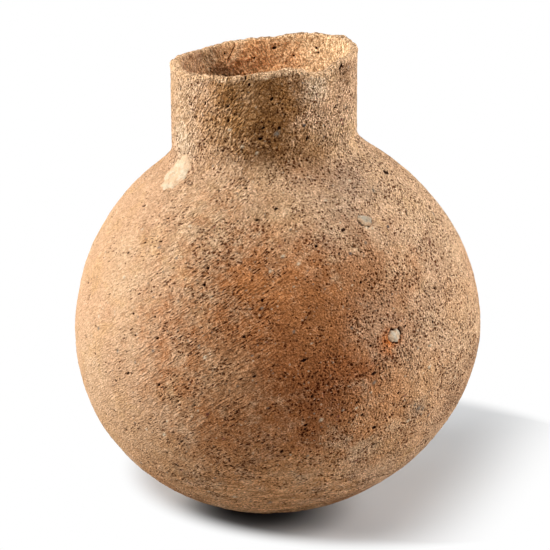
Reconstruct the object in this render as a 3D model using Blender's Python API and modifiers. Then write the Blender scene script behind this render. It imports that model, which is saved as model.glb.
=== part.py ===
"""Hand-built terracotta jar: round body, worn flat foot and a short neck set off centre.

The pot is one wall of fired clay, built up as a potter without a wheel builds it: a pinched base
bowl, four straps of clay luted on with bevelled laps, a strap bent round for the neck and a thinner
one for the rim. Each of those pieces parts from the next along its lap. Two temper stones sit in
sockets in the wall, and a crust of lime lies over the foot of the neck.

Units are metres and degrees. +Z is up, the origin is on the floor under the middle of the belly,
and angles run counterclockwise from +X seen from above, so 270 faces the viewer.
"""

import math

import bmesh
import bpy
import numpy as np
from mathutils import Matrix, Vector

# Outline of the outer skin.
BELLY_RADIUS = 0.105
LOWER_HEIGHT = 0.0991        # belly to the pole of the round bottom, before the foot wore flat
UPPER_HEIGHT = 0.1054        # belly to where the shoulder curve would close
SHOULDER_POWER = 1.845       # 2 is an ellipse, and less makes leaner shoulders
FOOT_RADIUS = 0.022
NECK_RADIUS = 0.0471
LIP_RADIUS = 0.0477
NECK_FILLET = 0.0095
RIM_HEIGHT = 0.237

# Wall thicknesses, which fade into each other up the pot.
BASE_WALL = 0.011
BODY_WALL = 0.0075
NECK_WALL = 0.006
LIP_WALL = 0.0042

# Heights of the clay pieces, and the laps between them.
BASE_HEIGHT = 0.036
LOWER_STRAP = 0.034
BELLY_STRAP = 0.033
UPPER_STRAP = 0.037
RIM_SHARE = 0.41             # share of the neck's height that the rim strap takes
LAP_LENGTH = 0.008           # how far the inner end of a lap lies below its outer end
LUTE_GAP = 0.0004            # along the wall

# How the drying pot settled out of true.
NECK_SHIFT = -0.0071
NECK_SLOPE = 0.085           # rise of the neck and rim per length towards +X
FOOT_SHIFT = -0.0049
LEAN_START = 0.47            # share of the shoulder's height where the neck's lean sets in
LEAN_END = 0.93

# Unevenness of the hand-built wall: lobes round the pot, waves up it, height and phase of each swell.
SWELLS = (
    (2, 1.3, 0.00030, 60.0),
    (4, -2.1, 0.00026, 200.0),
    (6, 3.4, 0.00018, 320.0),
)

# Worn and chipped rim: angle, rise and spread of each low or high place.
RIM_WEAR = (
    (35.0, 0.0012, 22.0),
    (100.0, -0.0006, 20.0),
    (136.0, -0.0010, 7.0),
    (247.0, -0.0005, 6.0),
    (285.0, 0.0013, 11.0),
    (307.0, -0.0034, 7.0),
)

# Ridge inside the rim, where the end of its strap laps over the start.
RIDGE_ANGLE = 110.0
RIDGE_STEP = 0.0012
RIDGE_FADE = 60.0

# Temper stones in the wall: size across, size along and depth of each stone, and its place.
BELLY_PEBBLE_SIZE = (0.0066, 0.0062, 0.0046)
BELLY_PEBBLE_ANGLE = 304.0
BELLY_PEBBLE_HEIGHT = 0.1152
BELLY_PEBBLE_PROUD = 0.0007
SHOULDER_PEBBLE_SIZE = (0.0064, 0.0056, 0.0042)
SHOULDER_PEBBLE_ANGLE = 307.0
SHOULDER_PEBBLE_HEIGHT = 0.1654
SHOULDER_PEBBLE_PROUD = 0.0003
SOCKET_CLEARANCE = 0.0003

# Lime crust over the foot of the neck.
CRUST_ANGLE = 215.0
CRUST_DROP = 0.0035          # from the foot of the neck down to the crust's middle
CRUST_WIDTH = 0.0115
CRUST_LENGTH = 0.0190
CRUST_THICKNESS = 0.0009
CRUST_CLEARANCE = 0.0003

# Facets.
SEGMENTS = 64
SKIN_FACET = 0.011           # a facet up the skin is as long as this on a straight stretch,
LINING_FACET = 0.024         # one up the lining as long as this,
FACET_TURN = 16.0            # and both are shorter where the wall bends by this much
LIP_POINTS = 5
STONE_SEGMENTS = 12
STONE_RINGS = 8
CRUST_CELLS = 8
SHARP_ANGLE = 40.0

# Places worked out from the sizes above.
BELLY_HEIGHT = LOWER_HEIGHT * math.sqrt(1 - (FOOT_RADIUS / BELLY_RADIUS) ** 2)
NECK_SHARE = (1 - (NECK_RADIUS / BELLY_RADIUS) ** SHOULDER_POWER) ** (1 / SHOULDER_POWER)
NECK_FOOT = BELLY_HEIGHT + UPPER_HEIGHT * NECK_SHARE
LOWER_TOP = BASE_HEIGHT + LOWER_STRAP
BELLY_TOP = LOWER_TOP + BELLY_STRAP
UPPER_TOP = BELLY_TOP + UPPER_STRAP
NECK_TOP = RIM_HEIGHT - RIM_SHARE * (RIM_HEIGHT - NECK_FOOT)
CRUST_HEIGHT = NECK_FOOT - CRUST_DROP

SMALL_STEP = 1e-4            # for slopes along the outline
FINE_STEPS = 200             # for lengths along the outline
MERGE_DISTANCE = 1e-5

CLAY_COLOURS = {
    "base_bowl": (0.36, 0.23, 0.15),
    "lower_wall": (0.40, 0.25, 0.16),
    "belly_wall": (0.45, 0.26, 0.15),
    "upper_wall": (0.50, 0.28, 0.16),
    "shoulder_wall": (0.50, 0.31, 0.19),
    "neck_collar": (0.46, 0.30, 0.19),
    "rim_lip": (0.49, 0.31, 0.19),
}
LIME_COLOUR = (0.80, 0.74, 0.63)
PALE_STONE_COLOUR = (0.58, 0.54, 0.48)
GREY_STONE_COLOUR = (0.34, 0.31, 0.28)
CLAY_ROUGHNESS = 0.9
LIME_ROUGHNESS = 0.95
STONE_ROUGHNESS = 0.7


def smooth_step(share):
    """Ease from 0 to 1."""
    share = min(1.0, max(0.0, share))
    return share * share * (3 - 2 * share)


def filleted_max(first, second, width):
    """The larger of two values, with a fillet of this width where they cross."""
    share = min(1.0, max(0.0, 0.5 + 0.5 * (first - second) / width))
    return second + (first - second) * share + width * share * (1 - share)


def station_at(height):
    """Place on the outline: -1 is the pole of the bottom, 0 the belly and 1 the rim."""
    if height < BELLY_HEIGHT:
        return -math.asin((BELLY_HEIGHT - height) / LOWER_HEIGHT) / (math.pi / 2)
    return (height - BELLY_HEIGHT) / (RIM_HEIGHT - BELLY_HEIGHT)


def skin(station):
    """Radius and height of the outer skin."""
    if station < 0:
        angle = station * math.pi / 2
        return BELLY_RADIUS * math.cos(angle), BELLY_HEIGHT + LOWER_HEIGHT * math.sin(angle)
    height = BELLY_HEIGHT + station * (RIM_HEIGHT - BELLY_HEIGHT)
    share = min(1.0, (height - BELLY_HEIGHT) / UPPER_HEIGHT)
    shoulder = BELLY_RADIUS * (1 - share ** SHOULDER_POWER) ** (1 / SHOULDER_POWER)
    flare = max(0.0, (height - NECK_FOOT) / (RIM_HEIGHT - NECK_FOOT)) ** 2
    neck = NECK_RADIUS + (LIP_RADIUS - NECK_RADIUS) * flare
    return filleted_max(shoulder, neck, NECK_FILLET), height


def slope(station):
    """Change of radius and height per station along the skin."""
    low = skin(station - SMALL_STEP)
    high = skin(station + SMALL_STEP)
    return (high[0] - low[0]) / (2 * SMALL_STEP), (high[1] - low[1]) / (2 * SMALL_STEP)


def outward(station):
    """Unit normal of the skin, as radius and height."""
    across, up = slope(station)
    length = math.hypot(across, up)
    return up / length, -across / length


def along(station, length):
    """The station that lies this length further up the skin."""
    return station + length / math.hypot(*slope(station))


def wall_at(height):
    """Thickness of the clay at this height of the skin."""
    heights = (0.0, BELLY_HEIGHT, NECK_FOOT, NECK_TOP, RIM_HEIGHT)
    walls = (BASE_WALL, BODY_WALL, BODY_WALL, NECK_WALL, LIP_WALL)
    return float(np.interp(height, heights, walls))


def lining(station):
    """Radius and height of the inner side, square to the skin."""
    radius, height = skin(station)
    across, up = outward(station)
    wall = wall_at(height)
    return radius - wall * across, height - wall * up


def facet_stations(start, end, facet):
    """Stations from start to end, a facet apart and closer together where the wall bends."""
    fine = np.linspace(start, end, FINE_STEPS)
    points = np.array([skin(station) for station in fine])
    steps = np.diff(points, axis=0)
    lengths = np.hypot(steps[:, 0], steps[:, 1])
    headings = np.unwrap(np.arctan2(steps[:, 1], steps[:, 0]))
    bends = np.abs(np.gradient(np.degrees(headings)))
    shares = np.concatenate(([0.0], np.cumsum(lengths / facet + bends / FACET_TURN)))
    count = max(2, math.ceil(shares[-1]))
    return [float(station) for station in np.interp(np.linspace(0.0, shares[-1], count + 1), shares, fine)]


def lean(height):
    """Share of the neck's shift and slope at this height."""
    share = (height - BELLY_HEIGHT) / UPPER_HEIGHT
    return smooth_step((share - LEAN_START) / (LEAN_END - LEAN_START))


def settled(point):
    """Move a point of the true turned pot to where it lies in the settled one."""
    share = lean(point.z)
    sag = smooth_step((BELLY_HEIGHT - point.z) / BELLY_HEIGHT)
    shift = NECK_SHIFT * share + FOOT_SHIFT * sag
    return Vector((point.x + shift, point.y, point.z + NECK_SLOPE * share * point.x))


def bearing(point):
    """Angle of a point round the turning axis, from 0 to 360."""
    return math.degrees(math.atan2(point.y, point.x)) % 360


def angle_between(first, second):
    """Smallest turn from one angle to another."""
    return (first - second + 180) % 360 - 180


def rim_share(height):
    """Ease from 0 at the top of the rim's lap to 1 at the rim."""
    lap_top = NECK_TOP + LAP_LENGTH / 2 + LUTE_GAP
    return smooth_step((height - lap_top) / (RIM_HEIGHT - lap_top))


def wear_rise(point):
    """How far wear lifts or lowers a point of the rim strap."""
    rise = 0.0
    for angle, height, spread in RIM_WEAR:
        turn_away = angle_between(bearing(point), angle)
        rise += height * math.exp(-0.5 * (turn_away / spread) ** 2)
    return rise * rim_share(point.z)


def ridge_step(point):
    """How far the lapped end of the rim strap stands into the neck."""
    middle = skin(station_at(point.z))[0] - wall_at(point.z) / 2
    behind = RIDGE_ANGLE - bearing(point)
    if math.hypot(point.x, point.y) > middle or not 0 <= behind <= RIDGE_FADE:
        return 0.0
    return RIDGE_STEP * (1 - behind / RIDGE_FADE) * rim_share(point.z)


def worn(point):
    """Add the rim's ridge and wear to a point of the true turned pot."""
    step = ridge_step(point)
    if step:
        scale = 1 - step / math.hypot(point.x, point.y)
        point = Vector((point.x * scale, point.y * scale, point.z))
    return point + Vector((0.0, 0.0, wear_rise(point)))


def swollen(point):
    """Move a point of the true turned pot in or out as the hand-built wall swells."""
    rise = 0.0
    for lobes, waves, height, phase in SWELLS:
        turns = waves * 360 * point.z / RIM_HEIGHT
        rise += height * math.cos(math.radians(lobes * bearing(point) + turns + phase))
    scale = 1 + rise / BELLY_RADIUS
    return Vector((point.x * scale, point.y * scale, point.z))


def shaped(point):
    """A point of the finished pot."""
    return settled(swollen(worn(point)))


def material(name, colour, roughness):
    """A plain dull material."""
    finish = bpy.data.materials.new(name)
    finish.use_nodes = True
    shader = finish.node_tree.nodes["Principled BSDF"]
    shader.inputs["Base Color"].default_value = (*colour, 1.0)
    shader.inputs["Roughness"].default_value = roughness
    shader.inputs["Metallic"].default_value = 0.0
    return finish


def add_object(name, mesh, collection, parent):
    """Put a mesh in the scene under the jar's empty."""
    piece = bpy.data.objects.new(name, mesh)
    collection.objects.link(piece)
    piece.parent = parent
    return piece


def evaluated_mesh(piece):
    """The piece's mesh with its modifiers applied."""
    depsgraph = bpy.context.evaluated_depsgraph_get()
    return bpy.data.meshes.new_from_object(piece.evaluated_get(depsgraph))


def turn(name, profile, closed, collection, parent):
    """Turn a profile round the axis, then shape the ring as the pot settled and wore."""
    points = [(radius, 0.0, height) for radius, height in profile]
    edges = [(index, index + 1) for index in range(len(points) - 1)]
    if closed:
        edges.append((len(points) - 1, 0))
    mesh = bpy.data.meshes.new(name)
    mesh.from_pydata(points, edges, [])
    piece = add_object(name, mesh, collection, parent)
    screw = piece.modifiers.new("turn", "SCREW")
    screw.axis = "Z"
    screw.steps = SEGMENTS
    screw.render_steps = SEGMENTS
    screw.use_merge_vertices = True
    screw.merge_threshold = MERGE_DISTANCE
    turned = evaluated_mesh(piece)
    piece.modifiers.clear()
    for vertex in turned.vertices:
        vertex.co = shaped(vertex.co)
    turned.shade_smooth()
    turned.set_sharp_from_angle(angle=math.radians(SHARP_ANGLE))
    piece.data = turned
    bpy.data.meshes.remove(mesh)
    turned.name = name
    turned.materials.append(material(name + "_clay", CLAY_COLOURS[name], CLAY_ROUGHNESS))
    return piece


def lap_ends(height, gap):
    """Outer and inner station of a lap at this height, moved up the wall by the gap."""
    middle = station_at(height)
    return along(middle, LAP_LENGTH / 2 + gap), along(middle, gap - LAP_LENGTH / 2)


def wall_sides(outer, inner):
    """Skin points down the outer side, then lining points up the inner side."""
    down = [skin(station) for station in facet_stations(outer[1], outer[0], SKIN_FACET)]
    up = [lining(station) for station in facet_stations(inner[0], inner[1], LINING_FACET)]
    return down, up


def make_base_bowl(collection, parent):
    """The pinched bowl at the bottom, worn flat at its foot."""
    outer_top, inner_top = lap_ends(BASE_HEIGHT, 0.0)
    outer, inner = wall_sides((station_at(0.0), outer_top), (-1.0, inner_top))
    inner[0] = (0.0, inner[0][1])
    profile = inner + outer + [(0.0, 0.0)]
    return turn("base_bowl", profile, False, collection, parent)


def make_strap(name, bottom, top, collection, parent):
    """A ring of clay between two laps."""
    outer_bottom, inner_bottom = lap_ends(bottom, LUTE_GAP)
    outer_top, inner_top = lap_ends(top, 0.0)
    outer, inner = wall_sides((outer_bottom, outer_top), (inner_bottom, inner_top))
    return turn(name, outer + inner, True, collection, parent)


def make_rim_lip(collection, parent):
    """The last strap, thinned to a round lip."""
    lip = LIP_WALL / 2
    top = station_at(RIM_HEIGHT - lip)
    outer_bottom, inner_bottom = lap_ends(NECK_TOP, LUTE_GAP)
    outer, inner = wall_sides((outer_bottom, top), (inner_bottom, top))
    middle = (Vector(outer[0]) + Vector(inner[-1])) / 2
    across = Vector(outer[0]) - middle
    crown = []
    for step in range(1, LIP_POINTS - 1):
        angle = math.pi * (1 - step / (LIP_POINTS - 1))
        crown.append((middle.x + across.x * math.cos(angle), middle.y + lip * math.sin(angle)))
    return turn("rim_lip", outer + inner + crown, True, collection, parent)


def wall_frame(angle, height):
    """Point on the settled skin, and the directions across, up and out of the wall there."""
    station = station_at(height)
    turn_angle = math.radians(angle)

    def place(side_angle, side_station):
        radius, rise = skin(side_station)
        flat = Vector((radius * math.cos(side_angle), radius * math.sin(side_angle), rise))
        return shaped(flat)

    point = place(turn_angle, station)
    across = (place(turn_angle + SMALL_STEP, station) - point).normalized()
    up = (place(turn_angle, station + SMALL_STEP) - point).normalized()
    out = across.cross(up).normalized()
    return point, across, out.cross(across), out


def stone_mesh(name, size, extra):
    """A rounded stone, each half size larger by extra."""
    shell = bmesh.new()
    bmesh.ops.create_uvsphere(shell, u_segments=STONE_SEGMENTS, v_segments=STONE_RINGS, radius=1.0)
    half = Vector([length / 2 + extra for length in size])
    bmesh.ops.scale(shell, vec=half, verts=shell.verts)
    mesh = bpy.data.meshes.new(name)
    shell.to_mesh(mesh)
    shell.free()
    mesh.shade_smooth()
    return mesh


def make_pebble(name, size, angle, height, proud, colour, walls, groups, parent):
    """A temper stone seated in a socket of the wall, with its face proud of the skin."""
    parts, cutters = groups
    point, across, up, out = wall_frame(angle, height)
    place = point + out * (proud - size[2] / 2)
    rotation = Matrix((across, up, out)).transposed().to_euler()
    pebble = add_object(name, stone_mesh(name, size, 0.0), parts, parent)
    pebble.data.materials.append(material(name + "_stone", colour, STONE_ROUGHNESS))
    hollow = stone_mesh(name + "_socket", size, SOCKET_CLEARANCE)
    socket = add_object(name + "_socket", hollow, cutters, parent)
    socket.hide_render = True
    socket.display_type = "WIRE"
    for piece in (pebble, socket):
        piece.location = place
        piece.rotation_euler = rotation
    for wall in walls:
        cut = wall.modifiers.new(name + "_socket", "BOOLEAN")
        cut.operation = "DIFFERENCE"
        cut.solver = "EXACT"
        cut.object = socket


def make_lime_crust(collection, parent):
    """A thin oval scab of lime that follows the skin."""
    patch = bmesh.new()
    bmesh.ops.create_grid(patch, x_segments=CRUST_CELLS, y_segments=CRUST_CELLS, size=1.0)
    middle = station_at(CRUST_HEIGHT)
    for vertex in patch.verts:
        across = vertex.co.x * math.sqrt(1 - vertex.co.y ** 2 / 2) * CRUST_WIDTH / 2
        up = vertex.co.y * math.sqrt(1 - vertex.co.x ** 2 / 2) * CRUST_LENGTH / 2
        station = along(middle, up)
        radius, height = skin(station)
        out_radius, out_height = outward(station)
        angle = math.radians(CRUST_ANGLE) + across / radius
        radius += CRUST_CLEARANCE * out_radius
        height += CRUST_CLEARANCE * out_height
        flat = Vector((radius * math.cos(angle), radius * math.sin(angle), height))
        vertex.co = settled(swollen(flat))
    mesh = bpy.data.meshes.new("lime_crust")
    patch.to_mesh(mesh)
    patch.free()
    mesh.shade_smooth()
    mesh.materials.append(material("lime_crust_lime", LIME_COLOUR, LIME_ROUGHNESS))
    crust = add_object("lime_crust", mesh, collection, parent)
    thick = crust.modifiers.new("thickness", "SOLIDIFY")
    thick.thickness = CRUST_THICKNESS
    thick.offset = 1.0


def clear_scene():
    """Remove whatever the file starts with."""
    for item in list(bpy.data.objects):
        bpy.data.objects.remove(item, do_unlink=True)


def new_collection(name):
    """A collection in the scene."""
    collection = bpy.data.collections.new(name)
    bpy.context.scene.collection.children.link(collection)
    return collection


def main():
    clear_scene()
    parts = new_collection("terracotta_jar")
    cutters = new_collection("sockets")
    jar = bpy.data.objects.new("jar", None)
    parts.objects.link(jar)
    walls = [
        make_base_bowl(parts, jar),
        make_strap("lower_wall", BASE_HEIGHT, LOWER_TOP, parts, jar),
        make_strap("belly_wall", LOWER_TOP, BELLY_TOP, parts, jar),
        make_strap("upper_wall", BELLY_TOP, UPPER_TOP, parts, jar),
        make_strap("shoulder_wall", UPPER_TOP, NECK_FOOT, parts, jar),
        make_strap("neck_collar", NECK_FOOT, NECK_TOP, parts, jar),
        make_rim_lip(parts, jar),
    ]
    make_pebble("belly_pebble", BELLY_PEBBLE_SIZE, BELLY_PEBBLE_ANGLE, BELLY_PEBBLE_HEIGHT,
                BELLY_PEBBLE_PROUD, PALE_STONE_COLOUR, walls, (parts, cutters), jar)
    make_pebble("shoulder_pebble", SHOULDER_PEBBLE_SIZE, SHOULDER_PEBBLE_ANGLE, SHOULDER_PEBBLE_HEIGHT,
                SHOULDER_PEBBLE_PROUD, GREY_STONE_COLOUR, walls, (parts, cutters), jar)
    make_lime_crust(parts, jar)


main()
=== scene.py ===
"""Looks of the terracotta jar: wiped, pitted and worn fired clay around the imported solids.

Each clay piece is one closed fine mesh on the outline that the solids follow. Points are placed by
their length along the outer skin, measured from the pole of the bottom, and by their depth in the
wall, which is 0 on the skin and 1 on the lining. Relief, pits and grains move them in or out.
Units are metres and degrees, and angles run counterclockwise from +X, so 270 faces the viewer.
"""

import math

import bpy
import numpy as np
from mathutils import Euler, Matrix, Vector


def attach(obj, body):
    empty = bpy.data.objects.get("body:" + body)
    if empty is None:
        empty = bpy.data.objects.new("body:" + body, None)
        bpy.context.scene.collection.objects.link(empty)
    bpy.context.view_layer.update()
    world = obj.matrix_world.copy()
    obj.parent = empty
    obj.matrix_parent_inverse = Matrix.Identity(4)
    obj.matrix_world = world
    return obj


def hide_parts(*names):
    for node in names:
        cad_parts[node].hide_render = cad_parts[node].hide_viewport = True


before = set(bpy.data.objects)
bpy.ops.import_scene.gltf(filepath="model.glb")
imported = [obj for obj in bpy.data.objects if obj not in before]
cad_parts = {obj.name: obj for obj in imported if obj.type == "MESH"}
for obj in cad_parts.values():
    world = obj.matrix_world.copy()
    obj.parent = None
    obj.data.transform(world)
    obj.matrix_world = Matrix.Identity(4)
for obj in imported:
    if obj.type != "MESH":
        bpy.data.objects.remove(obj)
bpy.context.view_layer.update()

# Outline, walls and laps of the solids.
BELLY_RADIUS = 0.105
LOWER_HEIGHT = 0.0991
UPPER_HEIGHT = 0.1054
SHOULDER_POWER = 1.845
FOOT_RADIUS = 0.022
NECK_RADIUS = 0.0471
LIP_RADIUS = 0.0477
NECK_FILLET = 0.0095
RIM_HEIGHT = 0.237
BASE_WALL = 0.011
BODY_WALL = 0.0075
NECK_WALL = 0.006
LIP_WALL = 0.0042
BASE_HEIGHT = 0.036
LOWER_TOP = 0.070
BELLY_TOP = 0.103
UPPER_TOP = 0.140
RIM_SHARE = 0.41
LAP_LENGTH = 0.008
NECK_SHIFT = -0.0071
NECK_SLOPE = 0.085
FOOT_SHIFT = -0.0049
LEAN_START = 0.47
LEAN_END = 0.93
SWELLS = (
    # lobes round the pot, waves up it, height and phase
    (2, 1.3, 0.00030, 60),
    (4, -2.1, 0.00026, 200),
    (6, 3.4, 0.00018, 320),
)
BELLY_HEIGHT = LOWER_HEIGHT * math.sqrt(1 - (FOOT_RADIUS / BELLY_RADIUS) ** 2)
NECK_SHARE = (1 - (NECK_RADIUS / BELLY_RADIUS) ** SHOULDER_POWER) ** (1 / SHOULDER_POWER)
NECK_FOOT = BELLY_HEIGHT + UPPER_HEIGHT * NECK_SHARE
NECK_TOP = RIM_HEIGHT - RIM_SHARE * (RIM_HEIGHT - NECK_FOOT)
OUTLINE_POINTS = 4001

# Worn rim: angle, rise and spread of each low or high place, and the ragged edge between them.
RIM_WEAR = (
    (35, 0.0012, 22),
    (100, -0.0006, 20),
    (136, -0.0010, 7),
    (247, -0.0005, 6),
    (285, 0.0013, 11),
    (307, -0.0034, 7),
)
RIM_RAGGED = ((0.0120, 0.00070), (0.0045, 0.00055), (0.0018, 0.00038))

# Slanting ridge inside the rim, where the end of its strap laps over the start.
RIDGE_ANGLE = 106.5
RIDGE_SLANT = 680.0          # degrees per metre below the rim
RIDGE_STEP = 0.0016
RIDGE_FADE = 60.0
RIDGE_BEVEL = 2.6
# The groove at the ridge's foot is a dent and also a line of painted shade.
RIDGE_GROOVE = 0.7
RIDGE_GROOVE_SHARE = 0.70    # of a lining pit's depth
RIDGE_RISE = 3               # times the rim's own ease at the top of its lap

# Relief of the clay: size of the lumps and height of each layer.
OUTER_RELIEF = (
    (0.0180, 0.00022),
    (0.0060, 0.00011),
    (0.0028, 0.00007),
    (0.0015, 0.00009),
)
INNER_RELIEF = (
    (0.0300, 0.00050),
    (0.0100, 0.00040),
    (0.0040, 0.00036),
    (0.0018, 0.00028),
)
LIP_BAND = 0.0003
LIP_BAND_REACH = 0.0026
LIP_BAND_EDGE = 0.0005
LIP_BAND_RAGGED = ((0.0080, 0.0012), (0.0030, 0.0009), (0.0014, 0.0005))
LIP_WORN = 0.0014
LIP_INWARD = 2.4
LIP_WORN_RAGGED = ((0.0035, 0.7), (0.0014, 0.6))
NOISE_TILT = Euler((0.6, 0.4, 0.9)).to_matrix()

# Marks of wiping: they climb to the right round the body and run level at the base and neck foot.
WIPE_RADIUS = 0.084
WIPE_TWIST = 11.9            # radians per metre up the skin
WIPE_STRETCH = 4.5
WIPE_WIDTH = 0.0015
WIPE_HEIGHT = 0.00013
WIPE_PATCH = 0.03
WIPE_CLIMB = (0.075, 0.178, 0.02)
WIPE_LEVEL = ((0.0, 0.040, 0.02), (0.182, 0.194, 0.01))
WIPE_LEVEL_SHARE = 0.8
TOOL_WIDTH = 0.0024
TOOL_HEIGHT = 0.00032
TOOL_BAND = (0.195, RIM_HEIGHT, 0.02)

# Random pits and grains.
SEED = 7
PIT_COUNT = 1000
PIT_RADIUS = (0.00034, 0.00050)
PIT_DEPTH = (0.00035, 0.00085)
GRAIN_COUNT = 500
GRAIN_RADIUS = (0.00035, 0.00050)
GRAIN_HEIGHT = 0.00018
GRAIN_SHAPE = 0.8            # width of a named grain to its length
GRAIN_TILT = 30
SIZE_BIAS = 4                # the larger, the fewer large marks
DEPTH_BIAS = 3
MARK_TILT = 45
MARK_TILT_RANGE = 40
MARK_REACH = 1.7
MARK_EDGE = 1.5
SOCKET_EDGE = 6.0
MARK_RAGGED = (0.0011, 0.55)
# A pit's darkness is painted shade in its hollow.
FULL_PIT = 0.0008            # depth at which a pit is quite dark

# Pits seen in the photo: angle, height, half length, half width, tilt and depth, lengths in mm.
NAMED_PITS = (
    (237, 43.2, 2.0, 1.1, -40, 1.7),
    (284, 158.7, 1.2, 1.0, 20, 1.5),
    (358, 165.0, 1.8, 0.9, -60, 1.3),
    (273, 174.5, 1.3, 0.7, 10, 1.1),
    (213, 147.1, 1.2, 1.0, 60, 1.2),
    (200, 119.4, 2.2, 0.9, 85, 1.0),
    (246, 181.5, 0.8, 0.7, 0, 1.0),
    (261, 171.3, 1.8, 0.6, 45, 0.7),
    (207, 169.2, 1.8, 0.9, 35, 0.7),
    (225, 122.2, 1.0, 0.8, 30, 1.0),
    (233, 123.2, 0.8, 0.7, 0, 1.0),
    (341, 177.7, 2.2, 1.6, -30, 1.0),
    (296, 163.6, 1.6, 1.0, 30, 0.8),
    (291, 154.5, 0.8, 0.7, 0, 0.8),
    (294, 142.6, 0.8, 0.7, 0, 0.9),
    (296, 141.6, 0.9, 0.7, 60, 0.9),
    (298, 142.4, 0.7, 0.6, 0, 0.8),
    (308, 118.5, 0.8, 0.7, 0, 0.9),
    (225, 92.0, 1.6, 0.7, 40, 1.0),
    (219, 85.2, 0.9, 0.8, 0, 1.0),
    (236, 90.0, 1.1, 0.8, 35, 1.0),
    (242, 83.2, 0.8, 0.7, 0, 0.9),
    (247, 82.3, 0.9, 0.7, 30, 0.9),
    (234, 58.8, 0.9, 0.7, 0, 0.9),
    (235, 50.8, 1.0, 0.7, -50, 0.9),
    (257, 48.2, 1.5, 0.7, -25, 0.9),
    (266, 41.5, 0.9, 0.7, 0, 0.9),
    (305, 85.2, 0.9, 0.8, 0, 1.0),
    (296, 112.0, 1.0, 0.9, 0, 0.9),
    (277, 108.0, 2.2, 0.8, 25, 0.9),
    (278, 74.0, 1.5, 0.8, 30, 0.8),
    (299, 68.0, 1.4, 1.3, 0, 1.3),
    (301, 57.0, 1.1, 0.8, 20, 1.3),
    (298, 27.2, 2.6, 0.8, 12, 1.2),
    (302, 31.5, 2.0, 0.8, 20, 1.0),
    (328, 67.0, 3.0, 0.6, 60, 1.2),
    (268, 204.7, 1.3, 0.7, 5, 1.1),
    (275, 224.4, 1.3, 0.8, 40, 0.9),
    (248, 221.9, 0.8, 0.7, 0, 0.9),
    (232, 223.0, 1.2, 0.7, 80, 0.8),
    (297, 202.0, 1.3, 0.6, 75, 0.8),
    (324, 233.5, 2.4, 1.4, 50, 1.1),
)

# Pits in the lining: angle, height, half width and half height, lengths in mm.
LINING_PIT_DEPTH = 0.0010
LINING_PITS = (
    (83, 231.5, 1.5, 0.9),
    (51, 230.5, 1.1, 0.7),
    (46, 233.0, 0.8, 0.6),
    (49, 228.5, 0.9, 0.6),
    (97, 227.0, 0.8, 0.6),
    (69, 226.5, 0.9, 0.5),
    (118, 231.0, 0.8, 0.7),
)

# Grains seen in the photo: angle, height, half size in mm and colour.
WHITE_GRAIN = (0.82, 0.66, 0.46)
GREY_GRAIN = (0.25, 0.20, 0.15)
BLUE_GRAIN = (0.045, 0.055, 0.07)
RED_GRAIN = (0.22, 0.07, 0.05)
NAMED_GRAINS = (
    (315, 161.2, 0.9, BLUE_GRAIN),
    (306, 163.0, 1.0, WHITE_GRAIN),
    (308, 162.2, 0.7, WHITE_GRAIN),
    (313, 179.8, 0.7, WHITE_GRAIN),
    (250, 107.8, 1.0, WHITE_GRAIN),
    (227, 153.8, 0.8, GREY_GRAIN),
    (234, 107.0, 0.8, GREY_GRAIN),
    (237, 165.7, 0.9, WHITE_GRAIN),
    (295, 154.1, 0.9, BLUE_GRAIN),
    (236, 62.4, 1.2, WHITE_GRAIN),
    (295, 208.9, 0.9, BLUE_GRAIN),
    (278, 206.8, 1.5, GREY_GRAIN),
    (249, 210.0, 1.0, WHITE_GRAIN),
    (257, 201.2, 1.0, WHITE_GRAIN),
    (325, 206.5, 1.2, RED_GRAIN),
    (314, 73.6, 1.4, GREY_GRAIN),
    (312, 76.0, 0.9, GREY_GRAIN),
    (316, 72.0, 1.0, GREY_GRAIN),
    (316, 94.8, 0.9, WHITE_GRAIN),
    (322, 92.7, 0.7, WHITE_GRAIN),
    (330, 82.3, 1.0, WHITE_GRAIN),
)
GRAIN_COLOURS = (WHITE_GRAIN, WHITE_GRAIN, GREY_GRAIN, GREY_GRAIN, GREY_GRAIN, RED_GRAIN)

# Stones in the wall: node, slot, place, size across, along and deep, and how proud they stand.
PEBBLES = (
    ("belly_pebble", "pale_stone", 304, 0.1152, (0.0082, 0.0074, 0.0050), 0.0006),
    ("shoulder_pebble", "grey_stone", 307, 0.1654, (0.0078, 0.0064, 0.0046), 0.0010),
)
# The ring of a socket round its stone is darkened as painted shade.
SOCKET_DEPTH = 0.0012
SOCKET_MARGIN = 0.0002
PEBBLE_DETAIL = 5
PEBBLE_SEED = 71
PEBBLE_CORNERS = ((0.0034, 0.34), (0.0016, 0.16))
PEBBLE_ROUGHNESS = ((0.0012, 0.00022), (0.0006, 0.00012))

# Lime crust over the foot of the neck.
CRUST_ANGLE = 213
CRUST_HEIGHT = NECK_FOOT - 0.0035
CRUST_WIDTH = 0.0135
CRUST_LENGTH = 0.0190
CRUST_THICKNESS = 0.0009
CRUST_SINK = 0.0003
CRUST_BLUNTNESS = 0.85       # 1 is an ellipse, and less fills its corners
CRUST_EDGE_POWER = 6
CRUST_EDGE_RADIUS = 0.004
CRUST_MEAN = 0.75
CRUST_LUMPS = (0.0035, 0.45)
CRUST_GRAIN = (0.001, 0.00010)
CRUST_RAGGED = ((0.003, 0.24), (0.0012, 0.22))
CRUST_RUB = (CRUST_HEIGHT - 0.002, CRUST_HEIGHT + 0.006)
CRUST_RINGS = 24
CRUST_SPOKES = 120

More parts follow.
